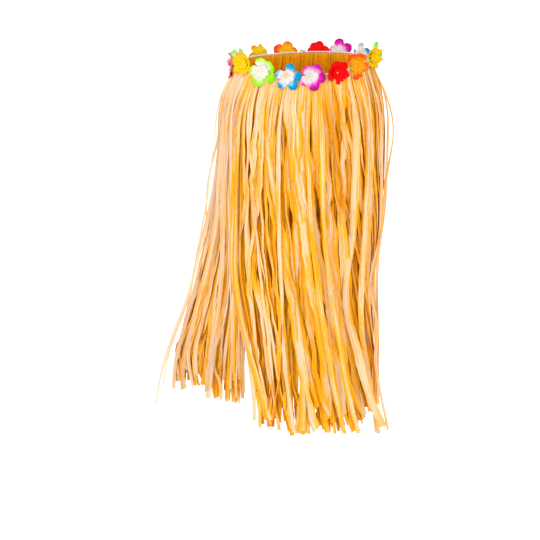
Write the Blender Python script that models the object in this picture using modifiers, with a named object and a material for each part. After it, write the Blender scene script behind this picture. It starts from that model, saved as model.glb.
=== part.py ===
"""Grass skirt: bundles of flat raffia strands sewn under a waist cord, with a garland of fabric flowers.

Metres, +Z up. The origin is the centre of the waist, where the wearer's body holds the cord. -Y is the front.
A place on the waist is told by how far along the cord it lies from the front centre, positive towards +X.
The strands part at one place, front left: the hem runs from there once round the wearer and back to it.
"""

import math
import random

import bmesh
import bpy
import numpy as np
from mathutils import Matrix, Vector

SEED = 7
SEAM = 0.0003  # left between pieces that meet
SHARP_EDGE = math.radians(40)

# The waist cord: an oval that dips at the front, tied at the back.
WAIST_HALF_WIDTH = 0.149
WAIST_HALF_DEPTH = 0.112
FRONT_DIP = 0.030
BACK_RISE = 0.008
HIP_TILT = 0.005
CORD_RADIUS = 0.0017
CORD_POINTS = 64
CORD_BEVEL_RESOLUTION = 1
OVAL_STEPS = 720  # for measuring along the oval

# The knot at the back that closes the cord, and its two short ends.
KNOT_HALF_LENGTH = 0.0075
KNOT_RADIUS = 0.0046
KNOT_SEGMENTS = 10
KNOT_END_SIDES = 8
KNOT_END_LENGTH = 0.024
KNOT_END_SPREAD = math.radians(20)
KNOT_END_LEAN = math.radians(45)  # outwards, over the strands

# A bundle's head is a narrow strip sewn under the cord. Its strands hang from it in rows, one behind another.
BUNDLES = 16
STRANDS_PER_ROW = 5
HEAD_HEIGHT = 0.008
HEAD_THICKNESS = 0.006
HEAD_OUTER_FACE = 0.0017  # from the cord's centreline, outwards

# The skirt's outer surface: the waist, then the hip oval, then the hem outline of the table below.
HIP_CENTRE = -0.005
HIP_HALF_WIDTH = 0.179
HIP_HALF_DEPTH = 0.140
HIP_REACHED_AT = 0.15  # share of a strand's length
HEM_LEAVES_AT = 0.22
HEM_REACHED_AT = 0.96
STRAND_LENGTH = 0.760
LENGTH_SPREAD = 0.045  # how much shorter than that a strand may be cut
STRAND_THICKNESS = 0.0014
WIDEST_STRAND = 0.015
ROOT_FULLNESS = 0.90  # share of its slot that a strand fills at its root, and below the hip
FULLNESS = (0.58, 0.80)
SWAY = 0.0008
MOST_WANDER = 0.003
WANDER_TURNS = 4.0
TWIST_AT_HIP = 0.4  # share of a row's most twist
STATIONS = (0.02, 0.085, 0.16, 0.42, 0.70, 1.00)  # where a strand's section is set, as shares of the way down
TRACE_STEPS = 40
OUTLINE_STEP = 0.004  # for telling which way the surface faces

PARTING = -0.127  # where on the cord the strands part
PARTING_HOLDS = 0.30  # beside it they leave the hip this much later
PARTING_REACH = 0.050
MOST_DRIFT_AT = 0.200  # strands lean along the hem, most of all this far from the parting
DRIFT_ENDS_AT = 0.600  # and from here round the back they hang straight
DRIFT_GROWTH = 2.0
HEM = (
    # share of the way round from the parting, x, y; the strands divide at the back too, where it jumps
    (0.000, -0.105, -0.150),
    (0.083, -0.058, -0.192),
    (0.166, 0.008, -0.212),
    (0.249, 0.078, -0.196),
    (0.321, 0.128, -0.150),
    (0.388, 0.152, -0.085),
    (0.452, 0.152, 0.000),
    (0.513, 0.131, 0.078),
    (0.582, 0.074, 0.138),
    (0.666, -0.002, 0.168),
    (0.766, -0.104, 0.187),
    (0.768, -0.152, 0.193),
    (0.825, -0.205, 0.190),
    (0.879, -0.265, 0.158),
    (0.926, -0.290, 0.098),
    (0.964, -0.228, 0.052),
    (1.000, -0.140, 0.012),
)

ROWS = (
    # name, behind the outer surface at the hip and at the hem, drift along the hem, most twist in degrees
    ("inner", -0.0110, -0.0220, 0.000, 12.0),
    ("middle", -0.0055, -0.0110, 0.055, 14.0),
    ("outer", 0.0000, 0.0000, 0.110, 18.0),
)

STRAYS = (
    # loose outer strand: place on the cord, how far it stands off at half its length, and at its end
    (-0.262, 0.006, 0.095),
    (-0.232, 0.014, 0.050),
    (-0.196, 0.016, 0.030),
    (-0.160, 0.004, 0.022),
    (-0.100, 0.004, 0.012),
    (0.034, 0.006, 0.010),
    (0.130, 0.004, 0.014),
    (0.180, 0.010, 0.024),
    (0.232, 0.006, 0.034),
    (0.300, 0.006, 0.022),
    (0.392, 0.008, 0.016),
    (-0.340, 0.006, 0.026),
)

# The garland. Each flower is stamped cloth, cupped forwards, and sewn on the cord through its middle.
PETALS = 5
PETAL_WALL = 0.0011
PETAL_STEPS = 4  # points round the rim for each petal
PETAL_RINGS = (
    # share of the way to the rim, share of the cup, and how much of the petals' notches shows
    (0.20, 0.10, 0.00),
    (0.62, 0.42, 0.45),
    (1.00, 1.00, 1.00),
)
NOTCH_DEPTH = 0.28
NOTCH_SHARPNESS = 0.3
PETAL_RIPPLE = 0.0016
PETAL_RIPPLES = 3
RAFFIA_COLOUR = (0.86, 0.62, 0.28, 1.0)
CORD_COLOUR = (0.93, 0.90, 0.82, 1.0)
COLOURS = {
    "yellow": (0.95, 0.76, 0.02, 1.0),
    "green": (0.50, 0.86, 0.10, 1.0),
    "blue": (0.03, 0.48, 0.72, 1.0),
    "magenta": (0.80, 0.08, 0.58, 1.0),
    "red": (0.86, 0.01, 0.01, 1.0),
    "orange": (0.95, 0.38, 0.02, 1.0),
    "rose": (0.88, 0.08, 0.16, 1.0),
}
FLOWERS = (
    # name, colour, place on the cord, above it, diameter, spin, nod down, turned left, cup
    ("flower_front_yellow", "yellow", -0.1455, 0.004, 0.054, 20, 2, 14, 0.010),
    ("flower_front_green", "green", -0.0935, 0.002, 0.058, 40, 4, 5, 0.009),
    ("flower_front_blue", "blue", -0.0355, 0.000, 0.058, 8, 4, 4, 0.008),
    ("flower_front_magenta", "magenta", 0.0165, 0.000, 0.055, 20, 3, 3, 0.008),
    ("flower_front_red", "red", 0.0716, -0.001, 0.052, 10, 8, 0, 0.013),
    ("flower_front_orange", "orange", 0.1157, 0.002, 0.054, 0, 4, -5, 0.009),
    ("flower_right_yellow", "yellow", 0.1744, 0.002, 0.052, 30, 0, -2, 0.011),
    ("flower_right_green", "green", 0.2275, 0.001, 0.056, 12, 2, 0, 0.009),
    ("flower_back_blue", "blue", 0.2795, 0.000, 0.055, 48, 3, 0, 0.009),
    ("flower_back_magenta", "magenta", 0.3310, 0.001, 0.055, 4, 4, 0, 0.009),
    ("flower_back_red", "red", 0.3790, 0.000, 0.052, 33, 2, 0, 0.011),
    ("flower_back_orange", "orange", -0.3765, 0.000, 0.055, 22, 4, 0, 0.009),
    ("flower_back_yellow", "yellow", -0.3160, 0.001, 0.054, 50, 3, 0, 0.011),
    ("flower_back_green", "green", -0.2560, 0.000, 0.056, 14, 4, 0, 0.009),
    ("flower_left_rose", "rose", -0.1962, -0.008, 0.054, 36, 2, 4, 0.010),
)


def smooth(x):
    """0 below 0, 1 above 1, and an even rise between."""
    x = min(max(x, 0.0), 1.0)
    return x * x * (3.0 - 2.0 * x)


# ---------------------------------------------------------------- the waist


def oval(angle, half_width, half_depth):
    return Vector((half_width * math.sin(angle), -half_depth * math.cos(angle)))


OVAL_ANGLES = [2.0 * math.pi * i / OVAL_STEPS for i in range(OVAL_STEPS + 1)]
OVAL_POINTS = [oval(a, WAIST_HALF_WIDTH, WAIST_HALF_DEPTH) for a in OVAL_ANGLES]
OVAL_LENGTHS = np.cumsum([0.0] + [(b - a).length for a, b in zip(OVAL_POINTS, OVAL_POINTS[1:])])
GIRTH = float(OVAL_LENGTHS[-1])


def angle_at(along):
    """The oval's angle at a place on the cord, from 0 at the front centre."""
    return float(np.interp(along % GIRTH, OVAL_LENGTHS, OVAL_ANGLES))


def outward_at(along):
    """The flat direction away from the wearer at a place on the cord."""
    a = angle_at(along)
    return Vector((math.sin(a) / WAIST_HALF_WIDTH, -math.cos(a) / WAIST_HALF_DEPTH, 0.0)).normalized()


def cord_point(along):
    a = angle_at(along)
    flat = oval(a, WAIST_HALF_WIDTH, WAIST_HALF_DEPTH)
    bend = math.cos(a) ** 2 * (-FRONT_DIP if math.cos(a) > 0 else BACK_RISE)
    return Vector((flat.x, flat.y, bend + HIP_TILT * math.sin(a)))


# ---------------------------------------------------------------- the raffia


def hem_outline(from_parting):
    """The hem's outline: a smooth curve through the rows of HEM."""
    rows = [Vector(row) for row in HEM]
    u = min(max(from_parting / GIRTH, 0.0), 1.0)
    i = 0
    while i < len(rows) - 2 and rows[i + 1].x < u:
        i += 1
    before, start, end, after = rows[max(i - 1, 0)], rows[i], rows[i + 1], rows[min(i + 2, len(rows) - 1)]
    span = end.x - start.x
    leaving = (end - before) * (span / (end.x - before.x))
    arriving = (after - start) * (span / (after.x - start.x))
    t = (u - start.x) / span
    at = (
        start * (2 * t**3 - 3 * t**2 + 1)
        + leaving * (t**3 - 2 * t**2 + t)
        + end * (3 * t**2 - 2 * t**3)
        + arriving * (t**3 - t**2)
    )
    return Vector((at.y, at.z))


def outline_point(from_parting, share):
    """The skirt's outer surface, seen from above, at a share of a strand's length."""
    along = PARTING + from_parting
    waist = cord_point(along).xy
    hip = oval(angle_at(along), HIP_HALF_WIDTH, HIP_HALF_DEPTH) + Vector((HIP_CENTRE, 0.0))
    nearest = min(from_parting, GIRTH - from_parting)
    leaves_at = HEM_LEAVES_AT + PARTING_HOLDS * math.exp(-((nearest / PARTING_REACH) ** 2))
    flat = waist.lerp(hip, smooth(share / HIP_REACHED_AT))
    return flat.lerp(hem_outline(from_parting), smooth((share - leaves_at) / (HEM_REACHED_AT - leaves_at)))


def skirt_surface(from_parting, share, behind):
    """A flat point of the skirt behind its outer surface, and the flat direction outwards there."""
    near = min(max(from_parting, OUTLINE_STEP), GIRTH - OUTLINE_STEP)
    along = outline_point(near + OUTLINE_STEP, share) - outline_point(near - OUTLINE_STEP, share)
    outward = Vector((along.y, -along.x)).normalized()
    return outline_point(from_parting, share) + outward * behind, outward


def row_depth(row, share):
    """How far behind the outer surface a row lies: in its place in the head, then at the hip and the hem."""
    index, (_, at_hip, at_hem, *_) = row
    root = HEAD_OUTER_FACE - HEAD_THICKNESS * (len(ROWS) - 0.5 - index) / len(ROWS)
    spread = at_hip + (at_hem - at_hip) * share
    return root + (spread - root) * smooth(share / HIP_REACHED_AT)


def drifted(from_parting, share, drift):
    """Where along the hem outline a strand has leant to. None crosses the parting or another of its row."""
    rises = smooth(from_parting / MOST_DRIFT_AT)
    falls = smooth((DRIFT_ENDS_AT - from_parting) / (DRIFT_ENDS_AT - MOST_DRIFT_AT))
    return from_parting + drift * rises * falls * share**DRIFT_GROWTH


def stray_lift(along, pitch, share):
    """How far a loose strand stands off the outer surface, and 0 for any other strand."""
    for place, at_half, at_end in STRAYS:
        if abs(place % GIRTH - along % GIRTH) < pitch / 2:
            return at_half * math.sin(math.pi * share) ** 2 + at_end * share**2.5
    return 0.0


def trace_strand(slot, width, row, length, sway):
    """The slot that a strand may fill: at each step down its left edge, right edge and outward direction.

    The second value is the share of the way down where the strand's own length is used up."""
    index, (_, _, _, drift, _) = row
    root = cord_point(PARTING + slot).z - CORD_RADIUS - SEAM - HEAD_HEIGHT
    traced, used = [], [0.0]
    for i in range(TRACE_STEPS + 1):
        share = i / TRACE_STEPS
        behind = row_depth(row, share)
        behind += sway * math.sin(math.pi * share) * smooth(share / HIP_REACHED_AT)
        if index == len(ROWS) - 1:
            behind += stray_lift(PARTING + slot, width, share)
        edges = (drifted(slot + k * width / 2, share, drift) for k in (-1, 1))
        (left, left_out), (right, right_out) = (skirt_surface(edge, share, behind) for edge in edges)
        height = root - share * STRAND_LENGTH
        outward = Vector((*(left_out + right_out), 0.0)).normalized()
        traced.append((Vector((*left, height)), Vector((*right, height)), outward))
        if i:
            used.append(used[-1] + (middle_of(traced[-1]) - middle_of(traced[-2])).length)
    return traced, float(np.interp(length, used, range(TRACE_STEPS + 1))) / TRACE_STEPS


def middle_of(slot_step):
    return (slot_step[0] + slot_step[1]) / 2


def at_share(traced, share):
    """The slot's left edge, right edge, outward and downward directions at a share of the way down."""
    place = share * TRACE_STEPS
    i = min(int(place), TRACE_STEPS - 1)
    above, below = traced[i], traced[i + 1]
    left, right, outward = (a.lerp(b, place - i) for a, b in zip(above, below))
    return left, right, outward, (middle_of(below) - middle_of(above)).normalized()


def strand_sections(slot, width, row, dice):
    """Four corners at each station down a strand: a ribbon that wanders and twists inside its slot."""
    length = STRAND_LENGTH - dice.random() * LENGTH_SPREAD
    traced, end = trace_strand(slot, width, row, length, dice.uniform(-SWAY, SWAY))
    wander, phase, turn = dice.uniform(-1, 1), dice.uniform(0, math.tau), dice.uniform(-1, 1)
    fullness = dice.uniform(*FULLNESS)
    sections = []
    for share in STATIONS:
        left, right, outward, down = at_share(traced, share)
        opened = smooth(share / HIP_REACHED_AT)
        room = (right - left).length
        wide = min(room * (ROOT_FULLNESS + (fullness - ROOT_FULLNESS) * opened), WIDEST_STRAND)
        spare = min((room - wide) / 2 - SEAM, MOST_WANDER)
        across = (right - left).normalized()
        aside = spare * opened * math.sin(phase + wander * WANDER_TURNS * share)
        centre = (left + right) / 2 + across * aside
        most_twist = math.radians(row[1][4]) * opened * (TWIST_AT_HIP + (1.0 - TWIST_AT_HIP) * share)
        twist = most_twist * turn * math.sin(phase + WANDER_TURNS * share)
        flat_face = (outward - down * outward.dot(down)).normalized()
        side = (across * math.cos(twist) + flat_face * math.sin(twist)) * (wide / 2)
        face = (flat_face * math.cos(twist) - across * math.sin(twist)) * (STRAND_THICKNESS / 2)
        inner, outer = centre - face, centre + face
        sections.append((inner - side, inner + side, outer + side, outer - side))
    cut = (end - STATIONS[-2]) / (STATIONS[-1] - STATIONS[-2])
    sections[-1] = [above.lerp(below, cut) for above, below in zip(sections[-2], sections[-1])]
    return sections


def head_point(along, row_line, level):
    """A corner of a bundle's head, by its place on the cord, its line from the inner face, and its level."""
    foot = cord_point(along)
    out = HEAD_OUTER_FACE - HEAD_THICKNESS * (1 - row_line / len(ROWS))
    top = foot.z - CORD_RADIUS - SEAM
    point = foot + outward_at(along) * out
    return Vector((point.x, point.y, top - HEAD_HEIGHT * (1 - level)))


def build_bundle(index, material, collection, dice):
    """One bundle: a grid of root cells, raised into the head, and each cell drawn down into its strand."""
    start = index * GIRTH / BUNDLES + SEAM / 2
    width = (GIRTH / BUNDLES - SEAM) / STRANDS_PER_ROW

    def cell_lines(co):
        return (co.x + 0.5) * STRANDS_PER_ROW, (co.y + 0.5) * len(ROWS)

    bm = bmesh.new()
    bmesh.ops.create_grid(bm, x_segments=STRANDS_PER_ROW, y_segments=len(ROWS), size=0.5)
    roots = {face: tuple(map(int, cell_lines(face.calc_center_median()))) for face in bm.faces}
    bottom = list(bm.verts)
    raised = bmesh.ops.extrude_face_region(bm, geom=list(roots), use_keep_orig=True)["geom"]
    top = [item for item in raised if isinstance(item, bmesh.types.BMVert)]
    for level, verts in enumerate((bottom, top)):
        for vert in verts:
            column, line = map(round, cell_lines(vert.co))
            vert.co = head_point(PARTING + start + column * width, line, level)
    for face, (column, line) in roots.items():
        slot = start + (column + 0.5) * width
        sections = strand_sections(slot, width, (line, ROWS[line]), dice)
        order = corner_order(face, slot, line, width)
        above = dict(zip(order, face.verts))
        for corners in sections:
            face = bmesh.ops.extrude_discrete_faces(bm, faces=[face])["faces"][0]
            below = dict(zip(order, face.verts))
            for corner, vert in below.items():
                vert.co = corners[corner]
            for left, right in ((0, 1), (3, 2)):  # both wide faces are split the same way, so the wall stays even
                bmesh.ops.connect_verts(bm, verts=[above[left], below[right]])
            above = below
    bmesh.ops.recalc_face_normals(bm, faces=bm.faces)
    return add_object(mesh_of(bm, f"raffia_bundle_{index + 1:02d}"), material, collection)


def corner_order(face, slot, line, width):
    """The corner of a section that each root vertex leads to, from left inner round to left outer."""
    corners = [
        head_point(PARTING + slot + side * width / 2, line + outer, 0)
        for side, outer in ((-1, 0), (1, 0), (1, 1), (-1, 1))
    ]
    return [min(range(4), key=lambda k: (vert.co - corners[k]).length) for vert in face.verts]


# ---------------------------------------------------------------- cord and knot


def build_cord(material, collection):
    """The cord runs once round from one side of the knot to the other."""
    reach = KNOT_HALF_LENGTH + SEAM
    curve = bpy.data.curves.new("waist_cord", "CURVE")
    curve.dimensions = "3D"
    curve.bevel_depth = CORD_RADIUS
    curve.bevel_resolution = CORD_BEVEL_RESOLUTION
    curve.use_fill_caps = True
    spline = curve.splines.new("POLY")
    spline.points.add(CORD_POINTS - 1)
    first, last = GIRTH / 2 + reach, GIRTH * 1.5 - reach
    for i, point in enumerate(spline.points):
        place = cord_point(first + (last - first) * i / (CORD_POINTS - 1))
        point.co = (place.x, place.y, place.z, 1.0)
    cord = bpy.data.objects.new("waist_cord", curve)
    cord.data.materials.append(material)
    collection.objects.link(cord)
    return cord


def build_knot(material, collection):
    """A plain knot at the centre back: a squat body on the cord, with the cord's two cut ends below it."""
    centre = cord_point(GIRTH / 2) + Vector((0.0, 0.0, KNOT_RADIUS - CORD_RADIUS))
    knot = add_object(knot_body(), material, collection)
    knot.location = centre
    for side in (-1, 1):
        end = bpy.data.objects.new(f"knot_end_{side}", knot_end())
        collection.objects.link(end)
        end.hide_render = True
        end.display_type = "WIRE"
        end.rotation_euler = (KNOT_END_LEAN, -side * KNOT_END_SPREAD, 0.0)
        end.location = centre + Vector((side * KNOT_HALF_LENGTH / 2, 0.0, 0.0))
        join = knot.modifiers.new("join", "BOOLEAN")
        join.operation = "UNION"
        join.object = end
    return knot


def knot_body():
    bm = bmesh.new()
    bmesh.ops.create_uvsphere(bm, u_segments=KNOT_SEGMENTS, v_segments=KNOT_SEGMENTS - 2, radius=1.0)
    bmesh.ops.scale(bm, vec=(KNOT_HALF_LENGTH, KNOT_RADIUS, KNOT_RADIUS), verts=bm.verts)
    return mesh_of(bm, "waist_knot")


def knot_end():
    """A cut end of the cord, which starts inside the knot and runs down."""
    bm = bmesh.new()
    down = Matrix.Translation((0.0, 0.0, -KNOT_END_LENGTH / 2))
    bmesh.ops.create_cone(
        bm,
        cap_ends=True,
        segments=KNOT_END_SIDES,
        radius1=CORD_RADIUS,
        radius2=CORD_RADIUS,
        depth=KNOT_END_LENGTH,
        matrix=down,
    )
    return mesh_of(bm, "knot_end")


# ---------------------------------------------------------------- flowers


def petal_reach(angle):
    """How far the rim reaches at an angle, as a share: 1 at a petal's tip, less in the notch between two."""
    wave = abs(math.cos(PETALS * angle / 2))
    return 1.0 - NOTCH_DEPTH * (1.0 - wave**NOTCH_SHARPNESS)


def petal_point(angle, ring, radius, cup, spin):
    reach, lift, notched = ring
    share = 1.0 + (petal_reach(angle) - 1.0) * notched
    out = radius * reach * share
    ripple = PETAL_RIPPLE * notched * math.sin(PETAL_RIPPLES * angle + spin)
    return Vector((out * math.sin(angle), out * math.cos(angle), cup * lift * share + ripple))


def flower_mesh(name, radius, cup, spin):
    """A disc whose rim is extruded outwards ring by ring, each ring drawn into petals and cupped forwards."""
    bm = bmesh.new()
    bmesh.ops.create_circle(bm, cap_ends=True, cap_tris=True, segments=PETALS * PETAL_STEPS, radius=1.0)
    loop = [vert for vert in bm.verts if vert.is_boundary]
    for ring in PETAL_RINGS:
        if ring != PETAL_RINGS[0]:
            rim = [edge for edge in bm.edges if edge.is_boundary]
            drawn = bmesh.ops.extrude_edge_only(bm, edges=rim)["geom"]
            loop = [item for item in drawn if isinstance(item, bmesh.types.BMVert)]
        for vert in loop:
            vert.co = petal_point(math.atan2(vert.co.x, vert.co.y), ring, radius, cup, spin)
    bm.normal_update()
    if sum(face.normal.z for face in bm.faces) < 0:
        bmesh.ops.reverse_faces(bm, faces=bm.faces)
    return mesh_of(bm, name)


def build_flower(row, material, collection):
    """A stamped cloth flower, sewn to the cord by the middle of its back."""
    name, _, along, above, diameter, spin, nod, turned, cup = row
    flower = add_object(flower_mesh(name, diameter / 2, cup, math.radians(spin)), material, collection)
    wall = flower.modifiers.new("wall", "SOLIDIFY")
    wall.thickness = PETAL_WALL
    wall.offset = 1.0
    outward = outward_at(along)
    facing = Matrix.Rotation(math.radians(turned), 3, "Z") @ outward
    sideways = Vector((0, 0, 1)).cross(facing)
    facing = Matrix.Rotation(math.radians(nod), 3, sideways) @ facing
    frame = Matrix((sideways, facing.cross(sideways), facing)).transposed()
    turn = (frame @ Matrix.Rotation(math.radians(spin), 3, "Z")).to_4x4()
    place = cord_point(along) + Vector((0, 0, above)) + outward * (CORD_RADIUS + SEAM)
    flower.matrix_world = Matrix.Translation(place) @ turn
    return flower


# ---------------------------------------------------------------- the whole


def mesh_of(bm, name):
    mesh = bpy.data.meshes.new(name)
    bm.to_mesh(mesh)
    bm.free()
    mesh.shade_smooth()
    mesh.set_sharp_from_angle(angle=SHARP_EDGE)
    return mesh


def add_object(mesh, material, collection):
    mesh.materials.append(material)
    item = bpy.data.objects.new(mesh.name, mesh)
    collection.objects.link(item)
    return item


def make_material(name, colour, roughness):
    material = bpy.data.materials.new(name)
    material.use_nodes = True
    shader = material.node_tree.nodes["Principled BSDF"]
    shader.inputs["Base Color"].default_value = colour
    shader.inputs["Roughness"].default_value = roughness
    shader.inputs["Metallic"].default_value = 0.0
    return material


def main():
    for item in list(bpy.data.objects):
        bpy.data.objects.remove(item, do_unlink=True)
    collection = bpy.data.collections.new("grass_skirt")
    bpy.context.scene.collection.children.link(collection)
    cord_material = make_material("cord", CORD_COLOUR, 0.8)
    raffia = make_material("raffia", RAFFIA_COLOUR, 0.55)
    cloth = {name: make_material(f"petal_{name}", colour, 0.7) for name, colour in COLOURS.items()}
    dice = random.Random(SEED)
    build_cord(cord_material, collection)
    build_knot(cord_material, collection)
    for index in range(BUNDLES):
        build_bundle(index, raffia, collection, dice)
    for row in FLOWERS:
        build_flower(row, cloth[row[1]], collection)


main()
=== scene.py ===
"""The looks of the grass skirt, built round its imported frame: raffia ribbons, sewn header, cord and flowers.

Metres, +Z up, -Y is the front. The waist, the skirt's surface and the hem follow the frame's own formulas.
A place on the waist is told by how far along the cord it lies from the front centre, positive towards +X.
"""

import random
from math import copysign, cos, exp, pi, radians, sin, tau

import bmesh
import bpy
import numpy as np
from mathutils import Matrix, Vector


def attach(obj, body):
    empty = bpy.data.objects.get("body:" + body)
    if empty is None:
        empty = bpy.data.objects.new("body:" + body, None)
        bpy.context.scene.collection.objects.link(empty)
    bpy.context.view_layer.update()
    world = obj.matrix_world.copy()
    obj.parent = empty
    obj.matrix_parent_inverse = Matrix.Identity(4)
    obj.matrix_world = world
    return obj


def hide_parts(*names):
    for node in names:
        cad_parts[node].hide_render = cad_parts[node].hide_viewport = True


SEED = 11
BODY = "root"
SEAM = 0.0003


# ---- the frame's own sizes

WAIST = (0.149, 0.112)  # half width, half depth
FRONT_DIP = 0.03
BACK_RISE = 0.008
HIP_TILT = 0.005
CORD_RADIUS = 0.0017
OVAL_STEPS = 720
KNOT_HALF_LENGTH = 0.0075
KNOT_RADIUS = 0.0046
KNOT_END_LENGTH = 0.024
KNOT_END_SPREAD = radians(20)
KNOT_END_LEAN = radians(45)
BUNDLES = 16
HEAD_HEIGHT = 0.008
HEAD_THICKNESS = 0.006
HEAD_OUTER_FACE = 0.0017
HIP_CENTRE = -0.005
HIP = (0.179, 0.14)
HIP_REACHED_AT = 0.15
HEM_LEAVES_AT = 0.22
HEM_REACHED_AT = 0.96
STRAND_LENGTH = 0.76
OUTLINE_STEP = 0.004
PARTING = -0.127
PARTING_HOLDS = 0.3
PARTING_REACH = 0.05
MOST_DRIFT_AT = 0.2
DRIFT_ENDS_AT = 0.6
DRIFT_GROWTH = 2.0
HEM = tuple(Vector(row) for row in (
    # share of the way round from the parting, x, y
    (0, -0.105, -0.15), (0.083, -0.058, -0.192), (0.166, 0.008, -0.212),
    (0.249, 0.078, -0.196), (0.321, 0.128, -0.15), (0.388, 0.152, -0.085),
    (0.452, 0.152, 0), (0.513, 0.131, 0.078), (0.582, 0.074, 0.138),
    (0.666, -0.002, 0.168), (0.766, -0.104, 0.187), (0.768, -0.152, 0.193),
    (0.825, -0.205, 0.19), (0.879, -0.265, 0.158), (0.926, -0.29, 0.098),
    (0.964, -0.228, 0.052), (1, -0.14, 0.012),
))


# ---- the raffia's sizes

LAYERS = (
    # ribbons in a bundle, behind the outer surface at the hip and the hem, least and most drift, how amber the
    # layer is painted as shade
    (8, -0.0115, -0.018, 0, 0.05, 0.46),
    (9, -0.0075, -0.012, 0.02, 0.1, 0.4),
    (9, -0.0038, -0.006, 0.045, 0.175, 0.28),
    (8, 0, 0, 0.07, 0.235, 0.12),
)
WIDTHS = (
    # share of the ribbons, least and most width
    (0.32, 0.0026, 0.0055), (0.44, 0.006, 0.0105), (0.24, 0.0115, 0.02),
)
GATHERED = 0.74  # share of its width that a ribbon has in the head
OPENED_AT = 0.2
FLARED_AT = 0.19  # share down where the ribbons have spread to the hip
FLARE = 2.2
MOST_FILL = 2.9  # times as many ribbons, at the most, where the hem is longer than the waist
HEAD_LEVELS = (1.0, 0.5)
STEPS = 38
ACROSS = 5
RIBBON_WALL = 0.0003
LENGTH_SPREAD = 0.076
PLEAT = 0.09  # height of a ribbon's pleats, as a share of its half width
WIGGLE = 0.0015
KINK = 0.0009
HOOK = 0.023  # how far the ends bend aside, at the most
CURL = 0.008  # and in or out
HOOK_FROM = 0.78
PRESSED = 0.003  # how far the flowers press the ribbons in
PRESSED_AT, PRESSED_REACH = 0.034, 0.022
SWAY, LOOSE_SWAY = 0.003, 0.001
WANDER = (0.003, 0.009)
WANDER_AT_TOP = 0.35
LEAN, LEAN_IN_LAYER, LEAN_GROWTH = 0.014, 0.007, 1.5
WAVES = {
    # turns down a ribbon of each of its smooth random functions
    "wander": 0.9, "sway": 1.6, "wiggle": 4.4, "turn": 1.3, "fold": 1.9, "swell": 2.2, "pleat": 1.1, "tone": 4.5,
}
WAVE_PARTS, WAVE_RATES = 3, (0.6, 1.0)
NARROW, NARROW_OVER = 0.012, 0.008  # narrower ribbons twist more
TURN, NARROW_TURN = (5, 18), 36  # degrees that a ribbon turns from lying flat
TURNED_AT = HIP_REACHED_AT * 0.6
LAY, TWISTED_LAY, LAID_SHARE = 8, 36, 0.86
FLIPS, NARROW_FLIPS, FLIP_REACH = 0.16, 0.2, 0.15  # share of the ribbons that turn over
FLIPS_AT = (0.15, 0.9)
FOLD = (2, 20)
FOLD_LEAST = 0.6
PLEATS, PLEAT_SHIFT = (2.2, 3.6), 3.0
SWELL = 0.24
CUT = 0.6  # how slanting an end is cut
UNEVEN = 0.35
LOOSE_LIFT = 0.008
LOOSE_WANDER = 0.3
# the loose ribbons' painted layer shade, the same as the outer layer's
LOOSE_TONE = 0.12
LENGTH_POWER = 1.1
# painted shade: a ribbon is painted more amber where others lie over it
UNDER_SHADE_SOFTNESS = 0.0035
UNDER_SHADE_TONE = 0.53
UNDER_SHADE_STEP = 0.0006  # how much further out a ribbon has to lie to cover another
UNDER_SHADE_DEPTH = 0.9
UNDER_SHADE_LEAST = 0.3  # share of its width that an edge-on ribbon covers
# painted shade: each ribbon's edges are painted more amber
EDGE_SHADE_TONE = 0.32
EDGE_SHADE_GROWTH = 2.2
# painted shade in the hollows of the pleats
PLEAT_SHADE_TONE = 0.1
OWN_TONE = (-0.16, 0.2)
TONE_PATCHES = 0.18
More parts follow.
